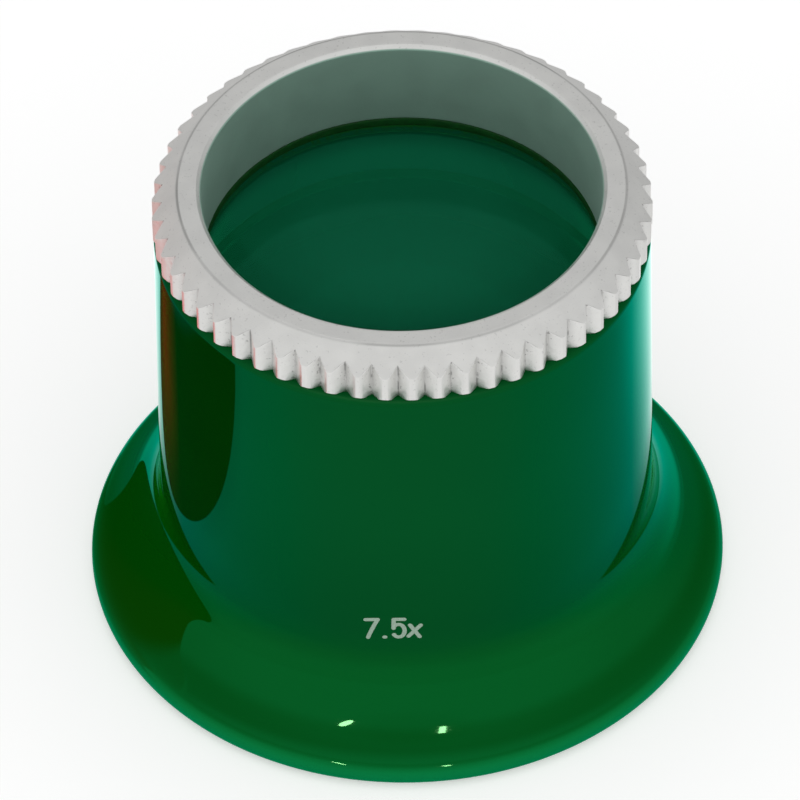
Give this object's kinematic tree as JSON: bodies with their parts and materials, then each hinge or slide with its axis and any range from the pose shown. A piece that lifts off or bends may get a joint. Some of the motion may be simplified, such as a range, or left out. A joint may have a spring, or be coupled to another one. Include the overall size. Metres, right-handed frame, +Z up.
{
  "type": "watchmaker loupe",
  "caption": "Watchmaker eye loupe: flared plastic eyecup body with a serrated screw-in metal ring that holds a pair of lenses.",
  "frame": {"origin": "centre of the eyecup rim's rest plane, on the optical axis", "axes": "+Z up the optical axis from the eye to the work, front with the magnification figure at -Y, +X to the right seen from the front"},
  "size_m": [0.038, 0.038, 0.0306],
  "materials": {
    "green_plastic": "glossy dark green moulded plastic",
    "matte_aluminium": "fine blasted, matte, silver",
    "cushion_rubber": "soft dark green, matte",
    "lens_glass": "polished clear glass"
  },
  "bodies": {
    "eyecup": {"eyecup_body": "green_plastic", "lower_lens": "lens_glass", "lens_spacer": "green_plastic", "upper_lens": "lens_glass"},
    "cushion": {"lens_cushion": "cushion_rubber"},
    "ring": {"lens_ring": "matte_aluminium"}
  },
  "joints": [
    {"name": "ring_lift", "type": "slide", "parent": "eyecup", "child": "cushion", "axis": [0, 0, 1], "range_m": [0, 0.00263]},
    {"name": "ring_turn", "type": "hinge", "parent": "cushion", "child": "ring", "pos_m": [0, 0, 0.02755], "axis": [0, 0, 1], "range_deg": [0, 1260]}
  ],
  "couplings": [
    {"joint": "ring_lift", "follows": "ring_turn", "m_per_rad": 0.00011937}
  ]
}
